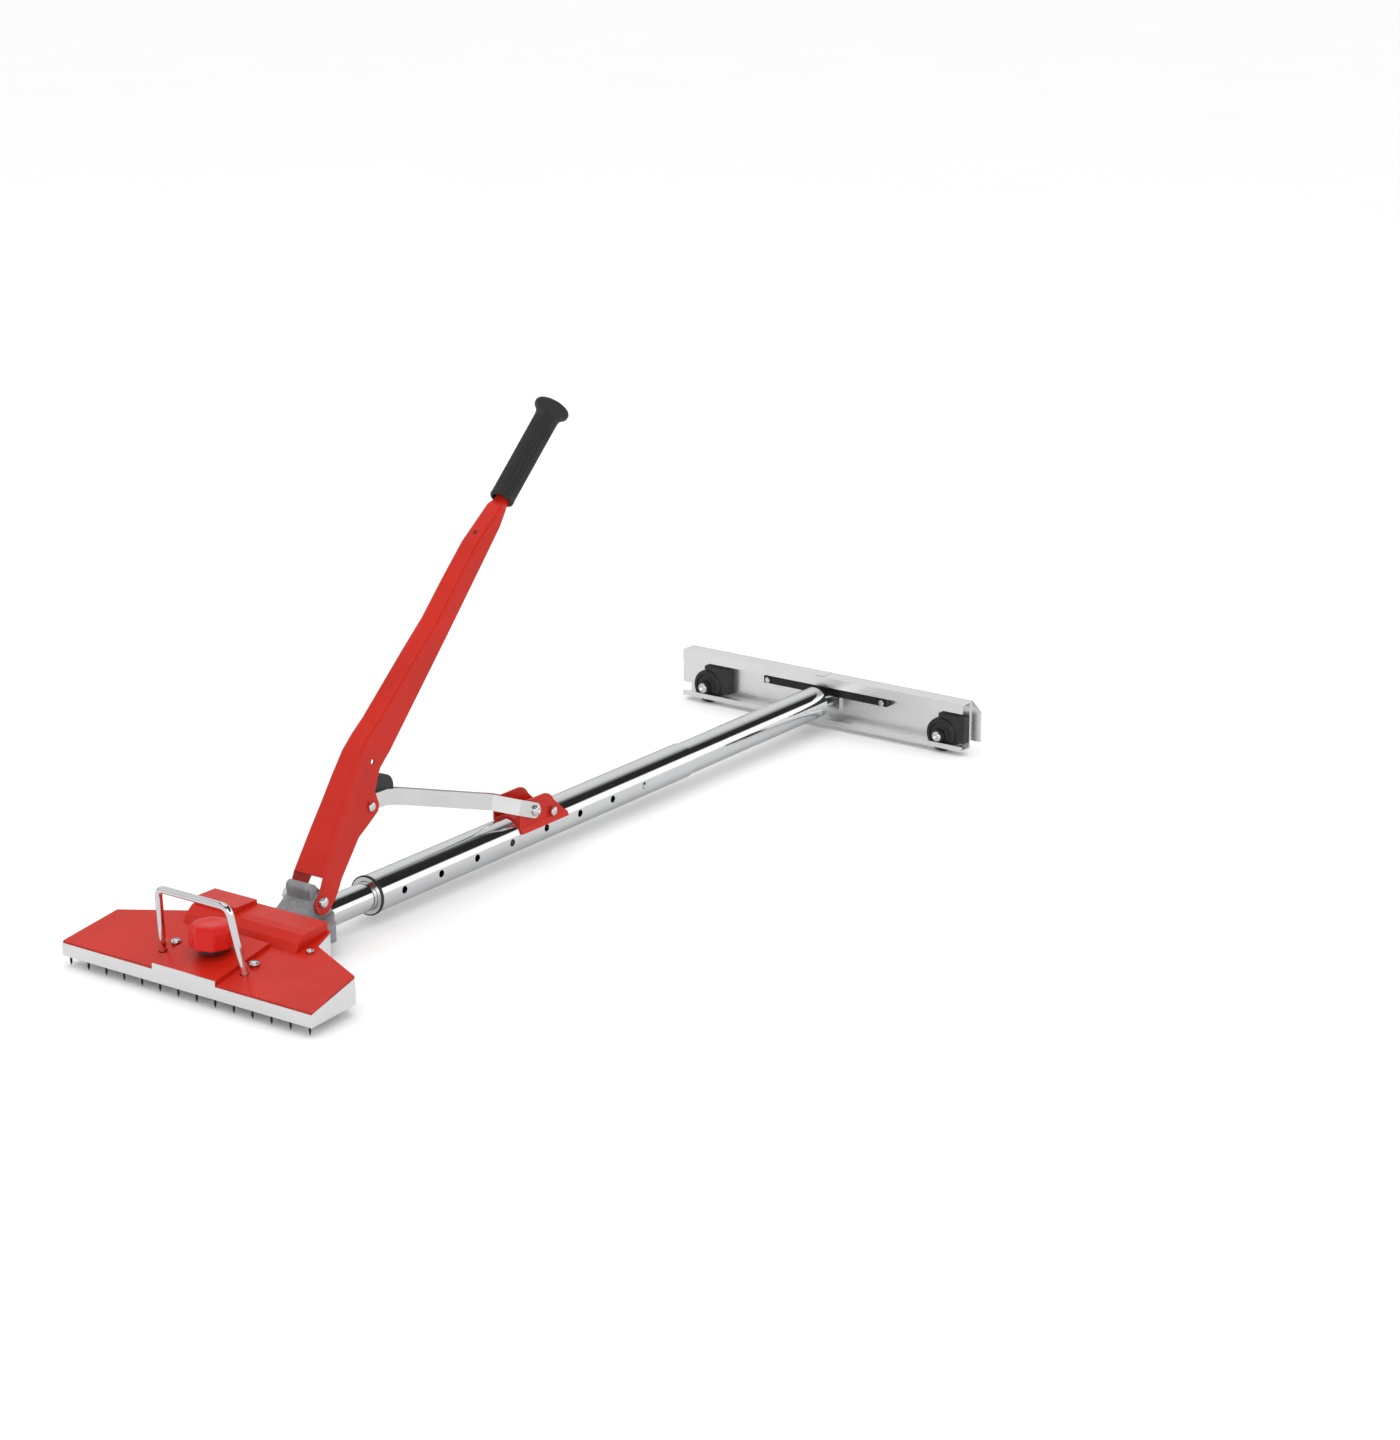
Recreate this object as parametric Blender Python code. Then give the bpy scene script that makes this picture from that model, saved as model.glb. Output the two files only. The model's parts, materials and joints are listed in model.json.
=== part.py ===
"""Carpet power stretcher with a 16-inch pin head, a toggle lever and a wheeled tail, at rest as it stands.

Lengths are in millimetres until they become mesh or object coordinates, which are in metres.
Tool frame: +X runs from the tail to the head, +Y is the side with the hole row, +Z is up,
and x = 0 is the front row of pins. The tool empty moves that frame to the middle of the length.
"""

import math

import bmesh
import bpy
from mathutils import Matrix, Vector

MM = 0.001
GAP = 0.3
SIDES = (("near", 1), ("far", -1))

# Overall
HEAD_FRONT = 6.0
TAIL_BACK = -1381.0
TOOL_SHIFT = -(HEAD_FRONT + TAIL_BACK) / 2

# Telescoping tubes, along a line that drops a little towards the head
TUBE_SIDES = 32
MAIN_OUTER = 50.8 / 2
MAIN_INNER = 47.8 / 2
LEAD_OUTER = 38.1 / 2
LEAD_INNER = 34.5 / 2
REAR_OUTER = 47.3 / 2
REAR_INNER = 44.3 / 2
MAIN_FRONT = -332.0
MAIN_REAR = -1003.0
LEAD_FRONT = -226.0
LEAD_REAR = -600.0
REAR_FRONT = -850.0
REAR_REAR = -1342.0
TUBE_HEIGHT = 33.95
TUBE_TILT = math.radians(0.3323)
HOLE_START = -373.0
HOLE_PITCH = 73.2
HOLE_COUNT = 8
HOLE_RADIUS = 5.0

# Pivots in the tube frame: (along, height above the tube's axis)
LEVER_PIVOT = (-216.2, 30.8)
LINK_PIVOT = (-320.7, 125.2)
SADDLE_PIVOT = (-640.2, 32.3)
LEVER_RISE = math.radians(46.44)

# Lever channel, along the lever from its pivot: (distance, half width, front face)
SHEET = 2.5
LEVER_STATIONS = (
    (-30, 26, 10),
    (3, 26, 10),
    (25, 26, 18),
    (50, 24, 24),
    (84, 22, 31),
    (116, 20, 37),
    (149, 18, 44),
    (184, 16, 50),
    (209, 15, 49),
    (234, 15, 44.5),
    (340, 15, 34.5),
    (392, 15, 28.5),
    (451, 14.5, 28),
    (508, 14, 26),
    (572, 13, 15),
    (582, 10, 11),
    (728, 10, 2),
)
# Rear edge of its flanges: (distance, offset from the lever's line)
LEVER_REAR_EDGE = (
    (13, -20),
    (40, -15),
    (98, -13.5),
    (124, -22),
    (143, -27.5),
    (151, -24),
    (160, -6),
    (188, 3),
    (214, 0),
    (550, 0),
    (574, 4),
    (583, 0.5),
    (728, -9),
)
LEVER_END_RADIUS = 15.0
LEVER_END_OFFSET = -4.0
WEB_START = 25.0
GRIP_START = (584, 6)
GRIP_END = (735, -4)
GRIP_RADIUS = 16.5
GRIP_FLARE = 24.0
GRIP_BORE = 12.8

# Head: the cover's top plane rises towards the rear
COVER_FRONT = 4.5
COVER_FRONT_HEIGHT = 32.5
COVER_SLOPE = 0.197
COVER_SHEET = 2.0
PANEL_HALF = 51.5
PANEL_HEIGHT = 5.0
BASE_FLOOR = 13.5
BASE_WALL = 3.5
BASE_PLATE = 4.0
PIN_PITCH = 30.1
PIN_COUNT = 14
PIN_ROW_STEP = -25.0
PIN_RADIUS = 1.5
PIN_TRAVEL = 6.0
KNOB_PLACE = (-45.0, 0.0)
KNOB_RADIUS = 27.5
KNOB_NECK = 50.5
KNOB_BOTTOM = 56.0
KNOB_TOP = 86.0
HEAD_PIVOT = -130.0

# Tail
TAIL_PIVOT = -1355.0
CHANNEL_HALF = 250.0
PLATE_HALF = 267.0
CHANNEL_LOW = 7.5
CHANNEL_TOP = 80.0
CHANNEL_DEPTH = 24.0
CHANNEL_LIPS = (7.5, 15.0)
WHEEL_RADIUS = 25.5
WHEEL_PLACE = 210.0
WHEEL_FRONT = -1359.5
WHEEL_BACK = -1373.5
HUB_FRONT = -1353.0
HUB_RADIUS = 9.0
AXLE_RADIUS = 4.0

RED = (0.62, 0.028, 0.022)
MATERIALS = {
    "red_paint": (RED, 0.38, 0.0),
    "red_knob": ((0.66, 0.03, 0.025), 0.45, 0.0),
    "chrome": ((0.82, 0.83, 0.85), 0.12, 1.0),
    "zinc": ((0.72, 0.73, 0.74), 0.3, 1.0),
    "aluminium": ((0.84, 0.85, 0.86), 0.35, 1.0),
    "cast_grey": ((0.36, 0.37, 0.39), 0.5, 0.6),
    "black_rubber": ((0.02, 0.02, 0.022), 0.7, 0.0),
    "black_plastic": ((0.025, 0.026, 0.028), 0.5, 0.0),
    "black_steel": ((0.03, 0.03, 0.033), 0.45, 0.3),
    "white_zinc": ((0.78, 0.79, 0.8), 0.35, 0.7),
}


def clear_scene():
    for item in list(bpy.data.objects):
        bpy.data.objects.remove(item, do_unlink=True)


def make_materials():
    made = {}
    for name, (colour, roughness, metallic) in MATERIALS.items():
        made[name] = bpy.data.materials.new(name)
        made[name].use_nodes = True
        shader = made[name].node_tree.nodes["Principled BSDF"]
        shader.inputs["Base Color"].default_value = (*colour, 1.0)
        shader.inputs["Roughness"].default_value = roughness
        shader.inputs["Metallic"].default_value = metallic
    return made


def frame(name, place=(0, 0, 0), pitch=0.0, parent=None):
    """An empty at a place in mm under its parent, turned about Y."""
    empty = bpy.data.objects.new(name, None)
    bpy.context.scene.collection.objects.link(empty)
    empty.parent = parent
    empty.location = Vector(place) * MM
    empty.rotation_euler = (0, pitch, 0)
    return empty


# Meshes, as bmesh in millimetres


def prism(outline, low, high, axis="y"):
    """The outline extruded along an axis: outline is (x, z) for y, (y, z) for x and (x, y) for z."""
    bm = bmesh.new()
    place = {
        "x": lambda a, b, along: (along, a, b),
        "y": lambda a, b, along: (a, along, b),
        "z": lambda a, b, along: (a, b, along),
    }[axis]
    base = bm.faces.new([bm.verts.new(place(a, b, low)) for a, b in outline])
    grown = bmesh.ops.extrude_face_region(bm, geom=[base])["geom"]
    step = Vector(place(0, 0, high - low))
    bmesh.ops.translate(bm, vec=step, verts=[v for v in grown if isinstance(v, bmesh.types.BMVert)])
    bmesh.ops.recalc_face_normals(bm, faces=bm.faces)
    return bm


def box(low, high):
    outline = ((low[0], low[1]), (high[0], low[1]), (high[0], high[1]), (low[0], high[1]))
    return prism(outline, low[2], high[2], "z")


def lathe(profile, axis="x", centre=(0, 0, 0), sides=24, closed=True):
    """A profile of (along, radius) points turned about an axis through the centre."""
    bm = bmesh.new()
    verts = [bm.verts.new((along, radius, 0)) for along, radius in profile]
    edges = [bm.edges.new(pair) for pair in zip(verts, verts[1:], strict=False)]
    if closed:
        edges.append(bm.edges.new((verts[-1], verts[0])))
    bmesh.ops.spin(
        bm,
        geom=verts + edges,
        cent=(0, 0, 0),
        axis=(1, 0, 0),
        angle=2 * math.pi,
        steps=sides,
        use_merge=True,
    )
    bmesh.ops.remove_doubles(bm, verts=bm.verts, dist=1e-4)
    turn = {
        "x": Matrix.Identity(3),
        "y": Matrix.Rotation(math.radians(90), 3, "Z"),
        "z": Matrix.Rotation(math.radians(-90), 3, "Y"),
    }[axis]
    bmesh.ops.rotate(bm, cent=(0, 0, 0), matrix=turn, verts=bm.verts)
    bmesh.ops.translate(bm, vec=centre, verts=bm.verts)
    bmesh.ops.recalc_face_normals(bm, faces=bm.faces)
    return bm


def rod(low, high, radius, axis="x", centre=(0, 0, 0), sides=24):
    profile = ((low, 0), (low, radius), (high, radius), (high, 0))
    return lathe(profile, axis, centre, sides, closed=False)


def ring(low, high, outer, inner, axis="x", centre=(0, 0, 0), sides=24):
    profile = ((low, inner), (low, outer), (high, outer), (high, inner))
    return lathe(profile, axis, centre, sides)


def arc(centre, radius, start, end, steps):
    """Points on an arc, with its angles in degrees."""
    points = []
    for step in range(steps + 1):
        angle = math.radians(start + (end - start) * step / steps)
        points.append((centre[0] + radius * math.cos(angle), centre[1] + radius * math.sin(angle)))
    return points


def slab_loft(sections):
    """Rings of equal length joined one after another, with both ends closed."""
    bm = bmesh.new()
    rings = [[bm.verts.new(point) for point in section] for section in sections]
    for first, second in zip(rings, rings[1:], strict=False):
        for i in range(len(first)):
            j = (i + 1) % len(first)
            bm.faces.new((first[i], first[j], second[j], second[i]))
    bm.faces.new(rings[0])
    bm.faces.new(rings[-1])
    bmesh.ops.recalc_face_normals(bm, faces=bm.faces)
    return bm


def together(*pieces):
    """One mesh of several solids."""
    whole = bmesh.new()
    for piece in pieces:
        data = bpy.data.meshes.new("piece")
        piece.to_mesh(data)
        piece.free()
        whole.from_mesh(data)
        bpy.data.meshes.remove(data)
    return whole


def part(name, bm, material, parent, origin=(0, 0, 0), smooth=True):
    """An object from a mesh in its parent's frame, with its own origin there."""
    bmesh.ops.translate(bm, vec=-Vector(origin), verts=bm.verts)
    bmesh.ops.scale(bm, vec=(MM, MM, MM), verts=bm.verts)
    data = bpy.data.meshes.new(name)
    bm.to_mesh(data)
    bm.free()
    made = bpy.data.objects.new(name, data)
    bpy.context.scene.collection.objects.link(made)
    made.parent = parent
    made.location = Vector(origin) * MM
    if material:
        data.materials.append(material)
    if smooth:
        data.shade_smooth()
        data.set_sharp_from_angle(angle=math.radians(35))
    return made


def combine(target, bm, operation="DIFFERENCE"):
    """Boolean of the target with a hidden helper made in the same parent frame."""
    helper = part(f"{target.name}_helper", bm, None, target.parent, smooth=False)
    helper.hide_render = True
    helper.display_type = "WIRE"
    modifier = target.modifiers.new(operation.lower(), "BOOLEAN")
    modifier.operation = operation
    modifier.solver = "EXACT"
    modifier.object = helper


def nut(low, high, radius, shank, centre):
    """A hexagon nut around a shank along Y."""
    return ring(low, high, radius, (shank + GAP) / math.cos(math.pi / 6), "y", centre, 6)


def bolt(radius, head_radius, inner_end, face, head, centre, axis="y", sides=16, side=1):
    """A shank from its inner end to the face that the head bears on, and the head beyond it."""
    profile = (
        (inner_end, 0),
        (inner_end, radius),
        (face, radius),
        (face, head_radius),
        (face + 0.7 * head, head_radius),
        (face + head, 0.7 * head_radius),
        (face + head, 0),
    )
    turned = [(side * along, out) for along, out in profile]
    return lathe(turned, axis, centre, sides, closed=False)


# Tubes and saddle, in the tube frame


def main_body(look, tube):
    main = part(
        "main_tube",
        ring(MAIN_REAR, MAIN_FRONT, MAIN_OUTER, MAIN_INNER, sides=TUBE_SIDES),
        look["chrome"],
        tube,
    )
    holes = [
        rod(15, 35, HOLE_RADIUS, "y", (HOLE_START - HOLE_PITCH * i, 0, 0), 16)
        for i in range(HOLE_COUNT)
    ]
    combine(main, together(*holes))

    flange = MAIN_OUTER + 1.1
    spigot = MAIN_INNER - GAP
    bore = LEAD_OUTER + GAP
    face = MAIN_FRONT + GAP
    profile = (
        (face - 20, bore),
        (face + 4, bore),
        (face + 4, flange - 1),
        (face + 3, flange),
        (face, flange),
        (face, spigot),
        (face - 20, spigot),
    )
    part("front_bush", lathe(profile, sides=TUBE_SIDES), look["black_plastic"], tube)
    saddle(look, tube)


def saddle(look, tube):
    inner = MAIN_OUTER + GAP
    outer = inner + SHEET
    ear_out = 22.8
    ear_in = ear_out - SHEET
    low = 6.0
    top = 48.5
    low_in = math.degrees(math.asin(low / inner))
    low_out = math.degrees(math.asin(low / outer))
    ear_out_angle = math.degrees(math.acos(ear_out / outer))
    ear_in_angle = math.degrees(math.acos(ear_in / outer))
    outline = [
        *arc((0, 0), inner, low_in, 180 - low_in, 16),
        *arc((0, 0), outer, 180 - low_out, 180 - ear_out_angle, 3),
        (-ear_out, top),
        (-ear_in, top),
        *arc((0, 0), outer, 180 - ear_in_angle, ear_in_angle, 8),
        (ear_in, top),
        (ear_out, top),
        *arc((0, 0), outer, ear_out_angle, low_out, 3),
    ]
    made = part("saddle", prism(outline, -715, -600, "x"), look["red_paint"], tube)
    side = [
        (-612, low - 3),
        (-612, 34),
        *arc((-630, 30.5), 18, 10, 85, 5),
        *arc((-664, 26), 22.4, 90, 155, 5),
        (-711, 12),
        (-711, low - 3),
    ]
    combine(made, prism(side, -40, 40), "INTERSECT")
    pivot = (SADDLE_PIVOT[0], 0, SADDLE_PIVOT[1])
    rivet_place = (-680.0, 0, 20.2)
    cut = together(
        rod(-40, 40, 4 + GAP, "y", pivot, 16),
        rod(ear_in - 0.6, 40, 3 + GAP, "y", rivet_place, 12),
        rod(-40, -(ear_in - 0.6), 3 + GAP, "y", rivet_place, 12),
    )
    combine(made, cut)

    strap_face = ear_out + 0.5 + 4 + GAP
    part(
        "saddle_pivot_bolt",
        bolt(4, 7.5, -strap_face - 8, strap_face, 5, pivot),
        look["zinc"],
        tube,
    )
    part(
        "saddle_pivot_nut",
        nut(-strap_face - 6, -strap_face, 7.5, 4, pivot),
        look["zinc"],
        tube,
    )
    for name, side in SIDES:
        rivet = bolt(3, 6, ear_in, ear_out + 2.6, 4, rivet_place, side=side)
        part(f"saddle_rivet_{name}", rivet, look["zinc"], tube)


def lead_body(look, tube):
    part(
        "lead_tube",
        ring(LEAD_REAR, LEAD_FRONT, LEAD_OUTER, LEAD_INNER, sides=TUBE_SIDES),
        look["chrome"],
        tube,
    )
    part(
        "lead_guide_sleeve",
        ring(LEAD_REAR, LEAD_REAR + 22, MAIN_INNER - GAP, LEAD_OUTER + 0.2, sides=TUBE_SIDES),
        look["black_plastic"],
        tube,
    )
    along, height = LEVER_PIVOT
    slab_low, slab_top = -15.0, 9.0
    half = [
        *arc((HEAD_PIVOT, 0), 13, 0, 80, 6),
        (-165, 30),
        *arc((-209, 39), 11, 55, 180, 7),
        (-243, 21),
    ]
    outline = half + [(x, -y) for x, y in reversed(half) if y > 0.01]
    yoke = part("yoke", prism(outline, slab_low, slab_top, "z"), look["cast_grey"], tube)
    upright = [
        (-238, 4),
        (-165, 4),
        (-165, slab_top),
        *arc((along, height), 13, 25, 180, 10),
    ]
    combine(yoke, prism(upright, -22.5, 22.5), "UNION")
    lug = (along + 9.0, 0, height + 17.0)
    web = [
        (along - 9, height + 8),
        (lug[0] - 6, lug[2] + 3),
        (lug[0] + 6.5, lug[2] - 2),
        (along + 12, height - 8),
    ]
    combine(yoke, prism(web, -19.5, 19.5), "UNION")
    combine(yoke, rod(-19.5, 19.5, 7, "y", lug, 20), "UNION")
    combine(yoke, rod(-243, -221, 21, sides=TUBE_SIDES), "UNION")
    bore = rod(-260, LEAD_FRONT + GAP, LEAD_OUTER + 0.2, sides=TUBE_SIDES)
    pivot = (along, 0, height)
    combine(yoke, bore)
    combine(yoke, rod(-40, 40, 5 + GAP, "y", pivot, 16))
    combine(yoke, rod(-40, 40, 6 + GAP, "z", (HEAD_PIVOT, 0, 0), 16))

    face = LEVER_STATIONS[0][1] + GAP
    part(
        "lever_pivot_bolt",
        bolt(5, 7, -face - 9, face, 6, pivot),
        look["zinc"],
        tube,
    )
    part(
        "lever_pivot_nut",
        nut(-face - 7, -face, 9, 5, pivot),
        look["zinc"],
        tube,
    )


# Lever: its frame has x towards the head end and z out of the front face


def lever_section(distance, half_width, face, low=-45.0, fold=5.0):
    inner = fold - SHEET
    points = [(half_width, low)]
    points += arc((half_width - fold, face - fold), fold, 0, 90, 3)
    points += arc((fold - half_width, face - fold), fold, 90, 180, 3)
    points += [(-half_width, low), (SHEET - half_width, low)]
    points += arc((fold - half_width, face - fold), inner, 180, 90, 3)
    points += arc((half_width - fold, face - fold), inner, 90, 0, 3)
    points += [(half_width - SHEET, low)]
    return [(-distance, y, z) for y, z in points]


def lever_body(look, lever):
    sections = [lever_section(*station) for station in LEVER_STATIONS]
    channel = part("lever_channel", slab_loft(sections), look["red_paint"], lever)
    side = [(-distance, offset) for distance, offset in reversed(LEVER_REAR_EDGE)]
    side += arc((0, LEVER_END_OFFSET), LEVER_END_RADIUS, -90, 90, 8)
    side += [(0, 80), (-LEVER_STATIONS[-1][0], 80)]
    combine(channel, prism(side, -40, 40), "INTERSECT")
    web_half = LEVER_STATIONS[0][1] - SHEET
    eye = link_eye()
    combine(channel, box((-WEB_START, -web_half, -10), (40, web_half, 90)))
    cuts = together(
        rod(-40, 40, 5 + GAP, "y", sides=16),
        rod(10, 40, 3.5 + GAP, "y", eye, 12),
        rod(-40, -10, 3.5 + GAP, "y", eye, 12),
        rod(10, 40, 3.5, "y", (-187.5, 0, 21), 12),
        rod(15, 40, 4, "z", (-524, 0, 0), 12),
    )
    combine(channel, cuts)

    outer = 19.0 + GAP
    for name, side in SIDES:
        rivet = bolt(3.5, 6, outer - 3.6, outer, 4, eye, sides=12, side=side)
        part(f"link_rivet_{name}", rivet, look["zinc"], lever)

    length = math.dist(GRIP_START, GRIP_END)
    tilt = math.atan2(GRIP_START[1] - GRIP_END[1], GRIP_END[0] - GRIP_START[0])
    profile = (
        (length - 5, 0),
        (length - 5, GRIP_BORE),
        (0, GRIP_BORE),
        (0, GRIP_RADIUS - 1),
        (1.5, GRIP_RADIUS),
        (length - 16, GRIP_RADIUS),
        (length - 7, GRIP_FLARE),
        (length - 2, GRIP_FLARE),
        (length, GRIP_FLARE - 3),
        (length, 0),
    )
    grip = part("lever_grip", lathe(profile, closed=False), look["black_rubber"], lever)
    grip.location = Vector((-GRIP_START[0], 0, GRIP_START[1])) * MM
    grip.rotation_euler = (0, math.pi - tilt, 0)


def link_eye():
    """The link's upper pivot in the lever frame."""
    along = LINK_PIVOT[0] - LEVER_PIVOT[0]
    height = LINK_PIVOT[1] - LEVER_PIVOT[1]
    cosine, sine = math.cos(LEVER_RISE), math.sin(LEVER_RISE)
    return (along * cosine - height * sine, 0, along * sine + height * cosine)


# Link, in the tube frame with its origin on the saddle pivot


def strap(side):
    """One flat strap of the link, from its upper eye, through the joggle, to its lower eye."""
    half_width, thickness = 10.5, 4.0
    upper, lower = 5.0, 23.3
    path = (
        (*LINK_PIVOT, upper),
        (-363, 124.0, upper),
        (-388, 117.8, upper),
        (-572, 58.7, upper),
        (-607, 45.2, lower),
        (*SADDLE_PIVOT, lower),
    )
    heading = [
        math.atan2(b[1] - a[1], b[0] - a[0]) for a, b in zip(path, path[1:], strict=False)
    ]
    stations = []
    for turn in (75, 50, 25):
        angle = math.radians(turn)
        back = half_width * math.sin(angle)
        x = path[0][0] - back * math.cos(heading[0])
        z = path[0][1] - back * math.sin(heading[0])
        stations.append((x, z, upper, heading[0], half_width * math.cos(angle)))
    for i, (x, z, y) in enumerate(path):
        before = heading[max(i - 1, 0)]
        after = heading[min(i, len(heading) - 1)]
        stations.append((x, z, y, (before + after) / 2, half_width))
    for turn in (25, 50, 75):
        angle = math.radians(turn)
        ahead = half_width * math.sin(angle)
        x = path[-1][0] + ahead * math.cos(heading[-1])
        z = path[-1][1] + ahead * math.sin(heading[-1])
        stations.append((x, z, lower, heading[-1], half_width * math.cos(angle)))
    sections = []
    for x, z, y, angle, half in stations:
        dx, dz = -math.sin(angle) * half, math.cos(angle) * half
        sections.append(
            [
                (x + dx, side * y, z + dz),
                (x + dx, side * (y + thickness), z + dz),
                (x - dx, side * (y + thickness), z - dz),
                (x - dx, side * y, z - dz),
            ]
        )
    return slab_loft(sections)


def link_body(look, tube):
    origin = (SADDLE_PIVOT[0], 0, SADDLE_PIVOT[1])
    eye = (LINK_PIVOT[0], 0, LINK_PIVOT[1])
    for name, side in SIDES:
        made = part(f"link_strap_{name}", strap(side), look["white_zinc"], tube, origin)
        cuts = together(
            rod(-15, 15, 4 + GAP, "y", eye, 16),
            rod(18, 40, 4 + GAP, "y", origin, 16),
            rod(-40, -18, 4 + GAP, "y", origin, 16),
        )
        combine(made, cuts)
    top = (-362.0, 134.6)
    outline = [*arc(top, 19, 75, 270, 16), *arc(LINK_PIVOT, 9, -90, 75, 8)]
    cam = part("link_cam", prism(outline, -4.6, 4.6), look["black_plastic"], tube, origin)
    combine(cam, rod(-15, 15, 4 + GAP, "y", eye, 16))
    pin = (
        (-11, 0),
        (-11, 6),
        (-9.4, 6),
        (-9.4, 4),
        (9.4, 4),
        (9.4, 6),
        (11, 6),
        (11, 0),
    )
    part("link_eye_pin", lathe(pin, "y", eye, 16, closed=False), look["zinc"], tube, origin)


# Head, level, in the tool frame


def cover_height(x):
    return COVER_FRONT_HEIGHT + COVER_SLOPE * (COVER_FRONT - x)


def follow_cover(bm):
    """Raises every vertex by the height of the cover's plane above it."""
    for vert in bm.verts:
        vert.co.z += cover_height(vert.co.x)
    return bm


def mirrored(half):
    return half + [(x, -y) for x, y in reversed(half)]


def pin_places():
    middle = (PIN_COUNT - 1) / 2
    front = [(0.0, (i - middle) * PIN_PITCH) for i in range(PIN_COUNT)]
    second = [(PIN_ROW_STEP, y + PIN_PITCH / 2) for _, y in front[:-1]]
    return front + second


def head_shell(look, tool):
    outer = mirrored([(HEAD_FRONT, 204), (-81.5, 196), (-118, 105), (-150, 97)])
    base = part("head_base", prism(outer, 0, 1, "z"), look["aluminium"], tool)
    for vert in base.data.vertices:
        x = vert.co.x / MM
        top = cover_height(x) - COVER_SHEET - GAP
        vert.co.z = (top if vert.co.z > 0.5 * MM else BASE_FLOOR) * MM
    wall = BASE_WALL
    inner = mirrored([(HEAD_FRONT - wall, 200), (-79, 192), (-115, 101), (-146, 93)])
    cavity_floor = BASE_FLOOR + BASE_PLATE
    combine(base, prism(inner, cavity_floor, 90, "z"))
    lip_top = cover_height(COVER_FRONT) + PANEL_HEIGHT
    lip = box((COVER_FRONT + GAP, -PANEL_HALF, 25), (HEAD_FRONT, PANEL_HALF, lip_top))
    combine(base, lip, "UNION")
    combine(base, box((-170, -48, cavity_floor), (-140, 48, 90)))
    holes = [rod(0, 20, PIN_RADIUS + 0.6, "z", (x, y, 0), 8) for x, y in pin_places()]
    combine(base, together(*holes))

    outline = mirrored([(COVER_FRONT, 203.7), (-81.5, 195), (-118, 104), (-152, 96)])
    cover = part(
        "head_cover",
        follow_cover(prism(outline, -COVER_SHEET, 0, "z")),
        look["red_paint"],
        tool,
    )
    foot = handle_path()[0]
    cuts = [rod(20, 70, 5.8, "z", (foot[0] + 1.4, sign * (foot[1] - 1), 0)) for sign in (1, -1)]
    cuts += [rod(20, 70, 3 + GAP, "z", (x, y, 0), 12) for _, x, y, _, _ in screw_places()]
    cuts.append(rod(20, 70, 5 + 2 * GAP, "z", (*KNOB_PLACE, 0), 16))
    combine(cover, together(*cuts))

    panel = mirrored([(COVER_FRONT, PANEL_HALF), (-91, PANEL_HALF)])
    top_panel = part(
        "head_panel",
        follow_cover(prism(panel, GAP, PANEL_HEIGHT, "z")),
        look["red_paint"],
        tool,
    )
    combine(top_panel, rod(20, 70, 5 + 2 * GAP, "z", (*KNOB_PLACE, 0), 16))

    rear = -150.0
    profile = [
        (-92, cover_height(-92) + GAP),
        (-98, 62),
        (-108, 70),
        (-118, 72.5),
        (rear, 74.5),
        (rear, cover_height(rear) + GAP),
    ]
    housing = part("rear_housing", prism(profile, -92, 93), look["red_paint"], tool)
    combine(housing, box((rear, -92, 70), (-112, -22, 79)), "UNION")


def screw_places():
    """Each cover screw's name, place, head radius and head height."""
    found = []
    for name, side in SIDES:
        found.append((f"handle_screw_{name}", -50.0, 64.0 * side, 7.0, 4.5))
    found.append(("cover_screw", -102.0, 107.0, 5.0, 3.5))
    return found


def cover_screw(x, y, head_radius, head_height):
    """A screw that stands upright on the sloping cover, its head clear of it all round."""
    face = cover_height(x) + COVER_SLOPE * head_radius + GAP
    return bolt(3, head_radius, face - 16, face, head_height, (x, y, 0), "z")


def handle_path(side=1):
    """Foot and top bend of the carrying handle, on one side."""
    return [(-31.1, 67.8 * side, 30.5), (-16.2, 57.2 * side, 125.4)]


def carry_handle(look, tool):
    foot, bend = (Vector(point) for point in handle_path())
    other_bend, other_foot = Vector((bend.x, -bend.y, bend.z)), Vector((foot.x, -foot.y, foot.z))
    corner = 12.0
    points = [foot]
    for before, at, after in ((foot, bend, other_bend), (bend, other_bend, other_foot)):
        come = (before - at).normalized()
        leave = (after - at).normalized()
        for step in range(6):
            share = step / 5
            one = (at + come * corner).lerp(at, share)
            two = at.lerp(at + leave * corner, share)
            points.append(one.lerp(two, share))
    points.append(other_foot)
    curve = bpy.data.curves.new("carry_handle", "CURVE")
    curve.dimensions = "3D"
    curve.bevel_depth = 4.75 * MM
    curve.bevel_resolution = 2
    curve.use_fill_caps = True
    spline = curve.splines.new("POLY")
    spline.points.add(len(points) - 1)
    for place, point in zip(spline.points, points, strict=True):
        place.co = (*(point * MM), 1.0)
    curve.materials.append(look["chrome"])
    made = bpy.data.objects.new("carry_handle", curve)
    bpy.context.scene.collection.objects.link(made)
    made.parent = tool


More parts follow.
